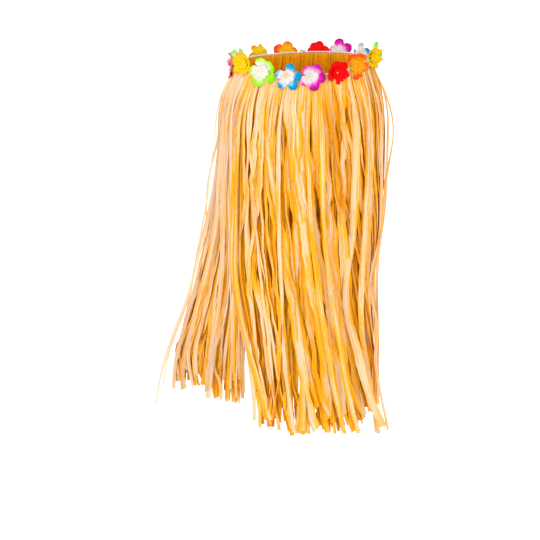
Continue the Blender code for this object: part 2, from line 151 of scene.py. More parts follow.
LOOSE = (
    # a loose ribbon's place on the cord, width, length, and how far it hangs off the skirt: share down, +X, +Y
    (-0.196, 0.0068, 0.79, (
        (0.45, -0.003, -0.006), (0.7, -0.006, -0.03), (0.86, -0.016, -0.064), (1, -0.038, -0.1))),
    (-0.2, 0.0072, 0.77, ((0.55, -0.002, -0.004), (0.75, -0.006, -0.014), (1, -0.028, -0.04))),
    (-0.182, 0.0075, 0.765, ((0.6, -0.002, -0.004), (0.8, -0.004, -0.01), (1, -0.01, -0.02))),
    (-0.214, 0.0045, 0.74, ((0.1, -0.006, 0), (0.22, -0.014, 0), (0.4, -0.01, -0.01), (1, -0.004, -0.02))),
    (-0.226, 0.005, 0.73, ((0.16, -0.004, 0), (0.34, -0.017, 0), (0.52, -0.006, -0.01), (1, -0.006, 0))),
    (-0.168, 0.009, 0.755, ((0.5, -0.006, -0.004), (1, -0.01, -0.03))),
    (-0.15, 0.01, 0.745, ((0.5, -0.004, -0.004), (1, 0.004, -0.02))),
    (-0.133, 0.0095, 0.745, ((0.5, 0.014, -0.006), (0.66, 0.027, -0.01), (0.8, 0.027, -0.01), (1, 0.026, -0.01))),
    (-0.13, 0.0085, 0.755, ((0.5, 0.008, -0.006), (0.66, 0.021, -0.01), (0.8, 0.019, -0.01), (1, 0.016, -0.012))),
    (-0.129, 0.0065, 0.735, ((0.5, 0.004, -0.006), (0.72, 0.016, -0.014), (1, 0.02, -0.016))),
    (-0.124, 0.005, 0.69, ((0.5, -0.004, -0.004), (0.66, -0.01, -0.006), (0.8, 0, -0.004), (1, 0.01, 0))),
    (-0.121, 0.008, 0.745, ((0.5, -0.01, -0.004), (0.66, -0.011, -0.004), (0.75, -0.006, -0.004),
        (0.86, 0.008, -0.004), (1, 0.013, 0))),
    (-0.116, 0.008, 0.75, ((0.5, -0.008, -0.004), (0.66, -0.01, -0.004), (0.75, -0.004, -0.004),
        (0.86, 0.008, -0.004), (1, 0.015, -0.004))),
    (0.03, 0.0105, 0.752, ((0.5, 0.01, -0.004), (1, 0.08, -0.004))),
    (0.01, 0.0095, 0.75, ((0.5, 0.004, -0.002), (1, 0.06, -0.002))),
    (-0.04, 0.0085, 0.745, ((0.5, 0.002, -0.002), (1, 0.03, -0.002))),
    (0.096, 0.016, 0.76, ((0.4, -0.006, -0.004), (0.62, -0.018, -0.008), (0.76, 0.006, -0.012),
        (0.88, 0.032, -0.02), (1, 0.072, -0.03))),
    (0.118, 0.011, 0.775, ((0.5, 0.004, -0.006), (0.75, 0.01, -0.01), (1, 0.048, -0.02))),
    (0.15, 0.006, 0.79, (
        (0.46, 0.006, -0.01), (0.6, -0.004, -0.02), (0.72, 0.01, -0.03), (0.82, 0.004, -0.04), (1, 0.03, -0.06))),
    (0.184, 0.005, 0.75, ((0.1, 0.006, 0), (0.2, 0.015, 0), (0.33, 0.003, 0), (0.5, 0, 0), (1, 0.006, 0))),
    (0.196, 0.007, 0.75, ((0.5, 0, -0.006), (0.66, 0.004, -0.01), (1, -0.004, -0.02))),
    (0.232, 0.008, 0.735, ((0.5, 0, 0.004), (1, 0, 0.02))),
    (0.3, 0.007, 0.74, ((0.5, 0.004, 0.006), (1, 0.012, 0.02))),
    (0.392, 0.008, 0.745, ((0.5, 0, 0.006), (1, -0.01, 0.014))),
    (-0.34, 0.008, 0.74, ((0.5, -0.002, 0.006), (1, -0.012, 0.02))),
    (-0.262, 0.006, 0.745, ((0.5, -0.004, 0.004), (1, -0.02, 0.01))),
)
LOOSE_LAY = radians(62)  # loose ribbons at the sides turn their faces to the front
PARTING_LEAN = 0.018
PARTING_LEAN_REACH = 0.055
PARTING_LEAN_GROWTH = 6.0
PARTING_CLEAR = 0.035  # beside the parting ribbons stay in line
GAP_EASE = 1.5
GAP_CLEARED = 0.45  # share of a ribbon's width that leaves a gap
BACK_CORNER = 0.767  # share of the way round where the hem turns out to the left
CORNER_GAP = 0.001
LEFT_LONGER = 0.014  # the group left of the parting hangs a little lower
# painted light: the group left of the parting is painted paler, lifting the shade it falls in
LEFT_PAINTED_LIGHT = 0.36
LEFT_FROM, LEFT_OVER = 0.84, 0.06  # shares of the way round over which that group begins
TUCKS = (
    # where a side of the skirt falls in: towards which X, share down, half length, depth
    (-1, 0.18, 0.11, 0.011), (-1, 0.7, 0.12, 0.009), (1, 0.62, 0.15, 0.014),
)
CLUMPS = (
    # how far apart, how far they draw the ribbons together, how far they slide down the skirt
    (0.067, 0.011, 0.7), (0.039, 0.008, -1), (0.024, 0.0045, 1.5),
)
CLUMP_STEP = 2.1  # radians from a layer's clumps to the next one's
CLUMP_START = 1000  # radians for each metre apart
CLUMP_GROWTH = 0.5
GAPS = (
    # a lens between ribbons: place along the hem outline from the parting, share down, half width, half share long
    (0.141, 0.173, 0.0022, 0.05), (0.136, 0.228, 0.003, 0.025), (0.208, 0.117, 0.0018, 0.035),
    (0.171, 0.303, 0.0034, 0.025), (0.178, 0.33, 0.004, 0.03), (0.205, 0.247, 0.0025, 0.03),
    (0.158, 0.363, 0.0042, 0.04), (0.17, 0.393, 0.0028, 0.03), (0.105, 0.377, 0.004, 0.04),
    (0.097, 0.165, 0.0024, 0.03), (0.209, 0.341, 0.0024, 0.025), (0.04, 0.542, 0.0028, 0.035),
    (0.062, 0.518, 0.003, 0.04), (0.094, 0.593, 0.0034, 0.045), (0.148, 0.49, 0.003, 0.03),
    (0.158, 0.588, 0.0036, 0.05), (0.072, 0.67, 0.0032, 0.04), (0.14, 0.73, 0.0028, 0.03),
    (0.03, 0.25, 0.0022, 0.03), (0.246, 0.42, 0.0026, 0.04), (0.35, 0.3, 0.0028, 0.04),
    (0.41, 0.52, 0.0034, 0.045), (0.49, 0.26, 0.0026, 0.035), (0.54, 0.6, 0.0036, 0.05),
    (0.59, 0.38, 0.003, 0.04), (0.7, 0.45, 0.003, 0.04),
)


# ---- cord, knot and stitches

CORD_STEP = 0.0011
CORD_SIDES = 12
CORD_PLIES = 3
CORD_LAY = 0.0085  # length over which a ply goes round once
CORD_GROOVE = 0.2
CORD_IN_KNOT = 0.4  # where the cord ends inside the knot, as a share of the knot's half length
THREAD = 0.00032
KNOT_SIZE = Vector((0.002, 0.0019, 0.0011))
KNOT_STEPS = 72
KNOT_SIDES = 10
KNOT_CORD = 0.92  # how thick the cord is in the knot, as a share
KNOT_END_STEPS = 20
WHIPS = 150
WHIP_STEPS = 14
WHIP_UNEVEN = 0.25
WHIP_OFF_CORD = 0.0006
WHIP_BITE = 0.003  # how far down the header a whip stitch goes through
WHIP_SLANT = 0.0007
WHIP_OFF_HEAD = 0.0004
RUNNING_LEVELS = (0.3, 0.62)  # shares of the header's height
RUNNING_PITCH = 0.0052
RUNNING_SHOWN = 0.66
RUNNING_HIGH = 0.0009
RUNNING_OFF_HEAD = 0.0002
RUNNING_STEPS = 6
THREAD_SIDES = 5


# ---- the flowers

FLOWERS = (
    # side, colour, place on the cord, above it, diameter, nod down, turned left, cup, spin against the photograph
    ("front", "yellow", -0.1425, 0.005, 0.056, 2, 20, 0.01, 0),
    ("front", "green", -0.0905, 0.002, 0.06, 4, 9, 0.008, 0),
    ("front", "blue", -0.0355, 0, 0.058, 4, 4, 0.008, 0),
    ("front", "magenta", 0.0135, 0, 0.056, 3, 0, 0.008, 0),
    ("front", "red", 0.0686, -0.001, 0.052, 8, -6, 0.011, 0),
    ("front", "orange", 0.1127, 0.002, 0.055, 4, -17, 0.009, 0),
    ("right", "yellow", 0.1704, 0.002, 0.052, 0, -20, 0.011, 40),
    ("right", "green", 0.2275, 0.001, 0.056, 2, 0, 0.009, 150),
    ("back", "blue", 0.2795, 0, 0.055, 3, 0, 0.009, 70),
    ("back", "magenta", 0.331, 0.001, 0.055, 4, 0, 0.009, 200),
    ("back", "red", 0.379, 0, 0.052, 2, 0, 0.011, 110),
    ("back", "orange", -0.3765, 0, 0.055, 4, 0, 0.009, 250),
    ("back", "yellow", -0.316, 0.001, 0.054, 3, 0, 0.011, 170),
    ("back", "green", -0.256, 0, 0.056, 4, 0, 0.009, 60),
    ("left", "rose", -0.1962, -0.008, 0.054, 2, 4, 0.01, 0),
)
PETALS = {
    # each petal's place clockwise from the top in degrees, its reach, and how pale it is
    "yellow": (
        (12, 1, 0), (62, 0.92, 0), (118, 0.96, 0), (170, 0.98, 0), (232, 1.04, 0), (285, 0.94, 0), (335, 0.96, 0)),
    "green": ((-6, 0.96, 0.3), (62, 1.02, 0.15), (128, 1.06, -0.15), (202, 1.06, 0.12), (272, 0.9, 0.3)),
    "blue": ((18, 1, 0), (90, 1.06, -0.1), (148, 1.08, 0.1), (214, 1, 0.2), (284, 0.9, 0.3)),
    "magenta": ((-38, 0.9, 0.2), (36, 1.02, 0.05), (98, 1.06, -0.1), (166, 1.08, 0), (236, 0.94, 0.45)),
    "red": ((-16, 1.04, 0), (34, 1.1, 0), (104, 0.92, 0), (172, 0.96, 0), (240, 0.94, 0), (290, 0.92, 0)),
    "orange": ((-38, 1.02, 0.1), (22, 1, 0.2), (96, 0.96, 0.4), (176, 1.06, 0.1), (250, 0.94, 0.3)),
    "rose": ((5, 1, 0.2), (78, 0.95, 0.5), (150, 1.05, 0.1), (216, 1, 0), (290, 0.96, 0.4)),
}
PETAL_FORMS = {
    # a petal's half width in degrees, how pointed it is, reach of the notches, how much it ruffles
    "yellow": (31, 0.8, 0.62, 0.0022),
    "green": (40, 0.05, 0.46, 0.0014),
    "blue": (33, 0.1, 0.36, 0.0012),
    "magenta": (38, 0.1, 0.42, 0.0014),
    "red": (36, 0.55, 0.66, 0.0024),
    "orange": (40, 0.15, 0.56, 0.0022),
    "rose": (38, 0.15, 0.48, 0.0018),
}
PETAL_COLOURS = {
    # as seen under the studio's lights: the eye, the middle, the rim, and the deepest dye
    "yellow": ((255, 196, 0), (255, 212, 0), (255, 206, 0), (232, 160, 0)),
    "green": ((240, 232, 214), (240, 238, 222), (176, 246, 40), (140, 225, 0)),
    "blue": ((250, 208, 150), (240, 232, 232), (20, 172, 218), (0, 128, 186)),
    "magenta": ((236, 216, 206), (240, 226, 228), (238, 30, 196), (176, 0, 108)),
    "red": ((255, 0, 0), (255, 0, 0), (255, 0, 0), (222, 0, 0)),
    "orange": ((255, 168, 0), (255, 184, 0), (255, 96, 6), (250, 66, 8)),
    "rose": ((250, 214, 222), (250, 170, 190), (246, 30, 70), (206, 0, 30)),
}
DYE_STOPS = (0.02, 0.14, 0.44, 0.7, 1)
DYE_SHARES = (0.6, 0.35, -0.55)  # patches, veins, how pale the petal is
DYE_ZERO = 0.475  # half of what the patches and veins add
PETAL_WALL = 0.00045
PETAL_RINGS = 10
PETAL_ANGLES = 100
PETAL_LAYERS = (
    # size, turned on in degrees, lifted off the cord, share of the cup, paler by
    (1, 0, 0.0006, 0.85, 0),
    (0.52, 37, 0.0016, 1.1, 0.1),
)
EYE = 0.06  # the innermost ring's share of the reach
ROUND_LOBE, POINTED_LOBE = (2.4, 0.45), 0.9  # powers of the petals' outlines
CUP_GROWTH = 1.5
PETAL_CREST = 0.003  # how much higher a petal's middle stands than the notches
PETAL_TILT = 0.45
UV_ROUND = 5  # length of the petals' map round a flower
RUFFLE_DRAWS = 4  # one more than there are ruffles, which keeps the later draws
RUFFLES = ((9, 0, 2.5, 1.0), (16, 4, 2.0, 0.7), (2, 7, 1.0, 0.5))  # waves round, waves outwards, growth, share
KNOTTED_STEPS = 40
KNOTTED_TURNS = 2.6
KNOTTED_REACH = 0.0012
KNOTTED_FROM, KNOTTED_OVER = 0.15, 0.8
KNOTTED_THREAD = 0.00045
KNOTTED_SIDES = 6
KNOTTED_HEIGHT = 0.0014


# ---- colours, light and camera

LIGHT_LEVEL = 1.5  # what the lights give a pale face that looks at the camera
# from a ribbon in the open to one deep underneath, as seen in full light, the amber end being painted shade; above
# 255 is overexposed
RAFFIA_STOPS = (0, 0.22, 0.42, 0.8, 1)
RAFFIA_YELLOW = ((258, 222, 176), (260, 205, 130), (273, 190, 16), (290, 192, 0), (266, 174, 0))
RAFFIA_PEACH = ((258, 219, 183), (260, 202, 140), (272, 187, 30), (288, 187, 0), (266, 169, 0))
RAFFIA_NOISES = (
    # scale across and along a ribbon, slant in degrees, detail, roughness where it isn't the usual
    ((950, 12), 0, 4.0, 0.6),  # fibres
    ((370, 6), 0, 2.0),  # bands
    ((700, 230), 32, 3.0, 0.6),  # slanting crinkles
    # the long creases are also painted as thin amber lines: painted shade in the folds
    ((250, 2.6), 0.25, 1.0),  # long creases
    ((210, 95), -38, 2.0, 0.6),  # crumples
)
RAFFIA_SHARES = (0.8, 1.2, 0.34, 0.4, 0.55)  # fibres, bands, creases, crinkles, crumples
TONE_ZERO = 1.49  # about what the patterns add up to
CREASE_WIDTH = 0.026
HUE_PATCHES = (9, 3, 1)
HUE_SHIFT = (4.0, -1.5)
FLOOR_LEVEL = -0.945
FLOOR_REACH = 60.0
WORLD_STRENGTH = 1.5
LIT = Vector((-0.05, 0, -0.35))
LIGHTS = (
    # name, place, size, power
    ("key", (-2.4, -2.3, 0.7), 2.2, 40.0),
    ("fill", (1.4, -2.9, 0.2), 2.2, 16.0),
    ("back", (0.6, 2.6, 1.4), 1.4, 8.0),
)
CAMERA_PLACE = (-0.0726, -3.4, 0.2)
CAMERA_PITCH = radians(90 - 11.03)
CAMERA_LENS = 104.7
CAMERA_SENSOR = 36.0


def smooth(x):
    """0 below 0, 1 above 1, and an even rise between."""
    x = min(max(x, 0.0), 1.0)
    return x * x * (3.0 - 2.0 * x)


def bell(x):
    """1 at 0, falling away evenly on both sides."""
    return exp(-(x**2))


def seen(red, green, blue):
    """The colour that looks so, 0 to 255, under the studio's lights."""
    shares = (channel / 255 for channel in (red, green, blue))
    light = (c / 12.92 if c <= 0.04045 else ((c + 0.055) / 1.055) ** 2.4 for c in shares)
    return (*(c / LIGHT_LEVEL for c in light), 1.0)


# ---- the waist and the skirt's surface


def oval(angle, half_width, half_depth):
    return Vector((half_width * sin(angle), -half_depth * cos(angle)))


OVAL_ANGLES = [2.0 * pi * i / OVAL_STEPS for i in range(OVAL_STEPS + 1)]
OVAL_POINTS = [oval(a, *WAIST) for a in OVAL_ANGLES]
OVAL_LENGTHS = np.cumsum([0.0] + [(b - a).length for a, b in zip(OVAL_POINTS, OVAL_POINTS[1:])])
GIRTH = float(OVAL_LENGTHS[-1])


def angle_at(along):
    """The oval's angle at a place on the cord, from 0 at the front centre."""
    return float(np.interp(along % GIRTH, OVAL_LENGTHS, OVAL_ANGLES))


def outward_at(along):
    """The flat direction away from the wearer at a place on the cord."""
    a = angle_at(along)
    return Vector((sin(a) / WAIST[0], -cos(a) / WAIST[1], 0)).normalized()


def cord_point(along):
    a = angle_at(along)
    flat = oval(a, *WAIST)
    bend = cos(a) ** 2 * (-FRONT_DIP if cos(a) > 0 else BACK_RISE)
    return Vector((flat.x, flat.y, bend + HIP_TILT * sin(a)))


def curve(rows, at):
    """A smooth curve through rows of (place, x, y), as the x and y at a place."""
    u = min(max(at, rows[0].x), rows[-1].x)
    i = 0
    while i < len(rows) - 2 and rows[i + 1].x < u:
        i += 1
    before, start, end, after = rows[max(i - 1, 0)], rows[i], rows[i + 1], rows[min(i + 2, len(rows) - 1)]
    span = end.x - start.x
    leaving = (end - before) * (span / (end.x - before.x))
    arriving = (after - start) * (span / (after.x - start.x))
    t = (u - start.x) / span
    point = (
        start * (2 * t**3 - 3 * t**2 + 1)
        + leaving * (t**3 - 2 * t**2 + t)
        + end * (3 * t**2 - 2 * t**3)
        + arriving * (t**3 - t**2)
    )
    return Vector((point.y, point.z))


def hem_outline(from_parting):
    return curve(HEM, from_parting / GIRTH)


def hem_spread(from_parting):
    """How many times longer the hem is than the waist, at least 1."""
    reach = GIRTH / BUNDLES / 2
    before, after = max(from_parting - reach, 0.0), min(from_parting + reach, GIRTH)
    return max((hem_outline(after) - hem_outline(before)).length / (after - before), 1.0)


def flared(share):
    """How far the ribbons have spread from the waist to the hip: fastest just under the cord."""
    return 1.0 - (1.0 - min(share / FLARED_AT, 1.0)) ** FLARE


def outline_point(from_parting, share):
    """The skirt's outer surface, seen from above, at a share of a strand's length."""
    along = PARTING + from_parting
    waist = cord_point(along).xy
    hip = oval(angle_at(along), *HIP) + Vector((HIP_CENTRE, 0))
    nearest = min(from_parting, GIRTH - from_parting)
    leaves_at = HEM_LEAVES_AT + PARTING_HOLDS * bell(nearest / PARTING_REACH)
    flat = waist.lerp(hip, flared(share))
    return flat.lerp(hem_outline(from_parting), smooth((share - leaves_at) / (HEM_REACHED_AT - leaves_at)))


def skirt_surface(from_parting, share, behind):
    """A flat point of the skirt behind its outer surface, and the flat direction outwards there."""
    near = min(max(from_parting, OUTLINE_STEP), GIRTH - OUTLINE_STEP)
    along = outline_point(near + OUTLINE_STEP, share) - outline_point(near - OUTLINE_STEP, share)
    outward = Vector((along.y, -along.x)).normalized()
    return outline_point(from_parting, share) + outward * behind, outward


def tucked(outward, share):
    """How far the skirt falls in at its sides."""
    return sum(
        depth * max(side * outward.x, 0.0) ** 2 * bell((share - level) / length)
        for side, level, length, depth in TUCKS
    )


def drifted(from_parting, share, drift):
    """Where along the hem outline a ribbon has leant to."""
    rises = smooth(from_parting / MOST_DRIFT_AT)
    falls = smooth((DRIFT_ENDS_AT - from_parting) / (DRIFT_ENDS_AT - MOST_DRIFT_AT))
    return from_parting + drift * rises * falls * share**DRIFT_GROWTH


# ---- the ribbons


def wave(dice, turns):
    """A smooth random function of the share down a ribbon, from about -1 to 1."""
    terms = [
        (turns * k * dice.uniform(*WAVE_RATES), dice.uniform(0, tau), 1 / k) for k in range(1, WAVE_PARTS + 1)
    ]
    total = sum(size for *_, size in terms)

    def at(share):
        return sum(size * sin(tau * rate * share + start) for rate, start, size in terms) / total

    return at


def end_bend(share):
    """How far along its last stretch a ribbon is, squared: its end bends."""
    return (max(share - HOOK_FROM, 0.0) / (1.0 - HOOK_FROM)) ** 2


def clumped(slot, layer, share):
    """How far along the hem the ribbons beside each other have been drawn together."""
    total = 0.0
    for apart, reach, slide in CLUMPS:
        starts = CLUMP_STEP * layer + apart * CLUMP_START
        total += reach * sin(tau * (slot / apart + slide * share) + starts)
    return total * share**CLUMP_GROWTH


def dice_width(dice):
    pick = dice.random()
    for share, least, most in WIDTHS:
        if pick < share:
            break
        pick -= share
    return dice.uniform(least, most)


class Ribbon:
    """One strip of raffia: where it hangs from, how it runs, and what sets it apart."""

    def __init__(self, dice, layer, slot, drift, width, layer_shade, loose=None):
        self.layer, self.slot, self.drift, self.width, self.loose = layer, slot, drift, width, loose
        narrow = smooth((NARROW - width) / NARROW_OVER)
        self.waves = {name: wave(dice, turns) for name, turns in WAVES.items()}
        self.pleats = dice.uniform(*PLEATS)
        self.hook, self.curl = dice.uniform(-HOOK, HOOK), dice.uniform(-CURL, CURL)
        self.kinks = [dice.gauss(0, KINK) for _ in range(STEPS + 1)]
        self.lean = dice.gauss(0, LEAN + LEAN_IN_LAYER * layer)
        self.most_turn = radians(dice.uniform(*TURN) + NARROW_TURN * narrow * dice.random())
        self.lay = radians(dice.gauss(0, LAY if dice.random() < LAID_SHARE else TWISTED_LAY))
        if loose:
            self.lay = LOOSE_LAY * sin(angle_at(PARTING + slot))
        self.flips_at = dice.uniform(*FLIPS_AT) if dice.random() < FLIPS + NARROW_FLIPS * narrow else None
        self.folded = radians(dice.uniform(*FOLD)) * dice.choice((-1, 1))
        # which edge of the ribbon takes more of the painted edge shade
        self.rim = dice.uniform(-1, 1)
        self.cut = dice.uniform(-CUT, CUT)
        # how far the ribbon is in the left group, which is painted paler as painted light
        left = smooth((slot / GIRTH - LEFT_FROM) / LEFT_OVER)
        # the tone starts from the layer's painted shade, deeper layers more amber
        self.tone = layer_shade + dice.uniform(*OWN_TONE) - LEFT_PAINTED_LIGHT * left
        self.wandering = dice.uniform(*WANDER)
        if loose:
            self.length = loose[0]
        else:
            self.length = STRAND_LENGTH - dice.random() ** LENGTH_POWER * LENGTH_SPREAD + LEFT_LONGER * left
        corner = BACK_CORNER * GIRTH
        self.clear = smooth(min(slot, GIRTH - slot, abs(slot - corner)) / PARTING_CLEAR)
        self.spread = hem_spread(slot)
        self.least, self.most = (0.0, corner - CORNER_GAP) if slot < corner else (corner + CORNER_GAP, GIRTH)

    def place_at(self, share):
        """Where along the hem outline the ribbon has got to, before it makes room for the gaps."""
        opened = smooth(share / HIP_REACHED_AT)
        aside = self.wandering * self.waves["wander"](share) * (WANDER_AT_TOP + share)
        aside += self.lean * share**LEAN_GROWTH + self.hook * end_bend(share)
        aside += WIGGLE * self.waves["wiggle"](share) + self.kinks[round(share * STEPS)]
        aside = opened * self.clear * (aside + clumped(self.slot, self.layer, share))
        aside /= 1.0 + (self.spread - 1.0) * share
        aside = LOOSE_WANDER * aside if self.loose else aside
        aside += PARTING_LEAN * bell(self.slot / PARTING_LEAN_REACH) * share**PARTING_LEAN_GROWTH
        return min(max(drifted(self.slot, share, self.drift) + aside, self.least), self.most)

    def trace(self):
        """Sections from the head down: centre, outward direction, share down, place along the hem, how far out."""
        _, at_hip, at_hem, *_ = LAYERS[self.layer]
        in_head = HEAD_OUTER_FACE - HEAD_THICKNESS * (len(LAYERS) - 0.5 - self.layer) / len(LAYERS)
        foot, outward = cord_point(PARTING + self.slot), outward_at(PARTING + self.slot)
        root = foot.z - CORD_RADIUS - SEAM - HEAD_HEIGHT
        self.path = []
        for level in HEAD_LEVELS:
            point = foot + outward * in_head
            top = Vector((point.x, point.y, root + HEAD_HEIGHT * level))
            self.path.append((top, outward.copy(), 0.0, self.slot, in_head))
        used = 0.0
        moves = self.moves_round_gaps()
        for i in range(STEPS + 1):
            share = i / STEPS
            opened = smooth(share / HIP_REACHED_AT)
            behind = in_head + (at_hip + (at_hem - at_hip) * share - in_head) * opened
            behind += (LOOSE_SWAY if self.loose else SWAY) * self.waves["sway"](share) * opened
            behind += self.curl * end_bend(share)
            behind -= PRESSED * bell((share - PRESSED_AT) / PRESSED_REACH)
            if self.loose:
                behind += LOOSE_LIFT * opened
            at = self.place_at(share)
            at += sum(move * bell((share - level) / length) for level, length, move in moves)
            flat, out = skirt_surface(at, share, behind)
            flat -= out * tucked(out, share)
            if self.loose:
                flat += curve(self.loose[1], share)
            point = Vector((flat.x, flat.y, root - share * STRAND_LENGTH))
            step = (point - self.path[-1][0]).length if i else 0.0
            kept = (self.length - used) / step if used + step > self.length else 1.0
            point = self.path[-1][0].lerp(point, kept)
            self.path.append((point, Vector((*out, 0)), share, at, behind))
            used += step
            if kept < 1.0:
                break
        return self

    def moves_round_gaps(self):
        """How the ribbon bends aside for each gap that it would cover: share down, half length, distance."""
        moves = []
        for place, level, half_width, half_length in GAPS:
            off = self.place_at(level) - place
            short = half_width + self.width * GAP_CLEARED - abs(off)
            if short > 0 and not self.loose:
                moves.append((level, half_length * GAP_EASE, copysign(short, off)))
        return moves

    def half_width(self, share):
        gathered = GATHERED + (1.0 - GATHERED) * smooth(share / OPENED_AT)
        return self.width / 2 * gathered * (1.0 + SWELL * self.waves["swell"](share))

    def turned(self, share):
        """How far the ribbon has turned from lying flat on the skirt."""
        opened = smooth(share / TURNED_AT)
        flipped = 0.0 if self.flips_at is None else pi * smooth((share - self.flips_at) / FLIP_REACH + 0.5)
        return opened * (self.lay + self.most_turn * self.waves["turn"](share)) + flipped

    def grid(self, under_shade):
        """Rows of points across the ribbon, each with its place in metres and its tone, which holds painted shade
        under other ribbons, at the edges and in the pleats' hollows.
        """
        points, places, tones = [], [], []
        run = 0.0
        for i, (centre, outward, share, *_) in enumerate(self.path):
            after, before = self.path[min(i + 1, len(self.path) - 1)][0], self.path[max(i - 1, 0)][0]
            down = (after - before).normalized()
            if i:
                run += (centre - self.path[i - 1][0]).length
            face = (outward - down * outward.dot(down)).normalized()
            side = face.cross(down)
            turn = self.turned(share)
            across = side * cos(turn) + face * sin(turn)
            normal = face * cos(turn) - side * sin(turn)
            fold = self.folded * (FOLD_LEAST + (1 - FOLD_LEAST) * self.waves["fold"](share))
            half = self.half_width(share)
            for k in range(ACROSS + 1):
                v = 2.0 * k / ACROSS - 1.0
                pleat = PLEAT * sin(self.pleats * pi * v + PLEAT_SHIFT * self.waves["pleat"](share))
                raised = half * ((abs(v) - 0.5) * sin(fold) + pleat)
                point = centre + across * (half * v * cos(fold)) + normal * raised
                if i == len(self.path) - 1:
                    point += down * (self.cut * half * v)
                points.append(point)
                places.append((half * v, run))
                # painted shade in the pleats' hollows, strongest where the ribbon lies flat
                pleat_shade = -pleat / PLEAT * cos(turn)
                # painted shade towards the edges, more on one side than the other
                rim = EDGE_SHADE_TONE * abs(v) ** EDGE_SHADE_GROWTH * (1.0 + self.rim * (1 if v > 0 else -1))
                along = TONE_PATCHES * self.waves["tone"](share)
                # the tone adds painted shade where other ribbons lie over this one
                tones.append(self.tone + along + UNDER_SHADE_TONE * under_shade[i][k] + PLEAT_SHADE_TONE * pleat_shade + rim)
        return points, places, tones


def hang_ribbons(dice):
    """All the ribbons, in lists by bundle."""
    bundles = []
    pitch = GIRTH / BUNDLES
    for index in range(BUNDLES):
        ribbons = []
        fill = min(hem_spread((index + 0.5) * pitch), MOST_FILL)
        for layer, (count, _, _, least, most, layer_shade) in enumerate(LAYERS):
            count = round(count * fill)
            for k in range(count):
                slot = index * pitch + (k + 0.5 + dice.uniform(-UNEVEN, UNEVEN)) * pitch / count
                ribbons.append(Ribbon(dice, layer, slot, dice.uniform(least, most), dice_width(dice), layer_shade))
        bundles.append(ribbons)
    outer = len(LAYERS) - 1
    for place, width, length, rows in LOOSE:
        slot = (place - PARTING) % GIRTH
        hangs = (length, [Vector()] + [Vector(row) for row in rows])
        bundles[int(slot / pitch)].append(Ribbon(dice, outer, slot, 0.0, width, LOOSE_TONE, hangs))
    return [[ribbon.trace() for ribbon in ribbons] for ribbons in bundles]


def shade_under_others(ribbons):
    """For each ribbon, how much of the others lies over each of its points: 0 in the open, up to 1 underneath;
    this is painted on as amber shade.
    """
    rows = len(HEAD_LEVELS) + STEPS + 1
    at, out, half = (np.full((rows, len(ribbons)), np.nan) for _ in range(3))
    for r, ribbon in enumerate(ribbons):
        for i, (_, _, share, place, behind) in enumerate(ribbon.path):
            at[i, r], out[i, r] = place, behind
            half[i, r] = ribbon.half_width(share) * max(abs(cos(ribbon.turned(share))), UNDER_SHADE_LEAST)
    under_shade = np.zeros((len(ribbons), rows, ACROSS + 1))
    for i in range(rows):
        over = out[i][None, :] > out[i][:, None] + UNDER_SHADE_STEP
        for k in range(ACROSS + 1):
            place = at[i] + (2.0 * k / ACROSS - 1.0) * half[i]
            apart = np.abs(place[:, None] - at[i][None, :])
            near = np.clip((half[i][None, :] + UNDER_SHADE_SOFTNESS - apart) / (2 * UNDER_SHADE_SOFTNESS), 0.0, 1.0)
            under_shade[:, i, k] = 1.0 - np.exp(-UNDER_SHADE_DEPTH * np.nansum(near * over, axis=1))
    return under_shade


def build_raffia(material, dice):
    """One piece for each bundle."""
    bundles = hang_ribbons(dice)
    # painted shade under the other ribbons, for every point of every ribbon
    under_shade = iter(shade_under_others([ribbon for ribbons in bundles for ribbon in ribbons]))
    pieces = []
    for index, ribbons in enumerate(bundles):
        grids = [ribbon.grid(next(under_shade)) for ribbon in ribbons]
        piece = ribbons_object(f"ribbons_{index + 1:02d}", grids, material, dice)
        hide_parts(f"raffia_bundle_{index + 1:02d}")
        pieces.append(piece)
    return pieces


def sharpen_rims(mesh):
    """A cut edge stays sharp when the sheet is given its wall, so the faces beside it look flat."""
    faces_at = np.bincount([loop.edge_index for loop in mesh.loops], minlength=len(mesh.edges))
    mesh.attributes.new("sharp_edge", "BOOLEAN", "EDGE").data.foreach_set("value", faces_at == 1)


def ribbons_object(name, ribbons, material, dice):
    points, places, tones, faces = [], [], [], []
    for grid, metric, tone in ribbons:
        first = len(points)
        points += grid
        tones += tone
        offset = dice.uniform(0, 50)
        places += [(x + offset, y) for x, y in metric]
        for i in range(len(grid) // (ACROSS + 1) - 1):
            for k in range(ACROSS):
                a = first + i * (ACROSS + 1) + k
                faces.append((a, a + ACROSS + 1, a + ACROSS + 2, a + 1))
    mesh = bpy.data.meshes.new(name)
    mesh.from_pydata(points, [], faces)
    uv = mesh.uv_layers.new(name="ribbon")
    uv.data.foreach_set("uv", [value for loop in mesh.loops for value in places[loop.vertex_index]])
    mesh.attributes.new("tone", "FLOAT", "POINT").data.foreach_set("value", tones)
    mesh.shade_smooth()
    sharpen_rims(mesh)
    piece = add_object(name, mesh, material)
    give_wall(piece, RIBBON_WALL)
    return piece


# ---- cord, knot and stitches


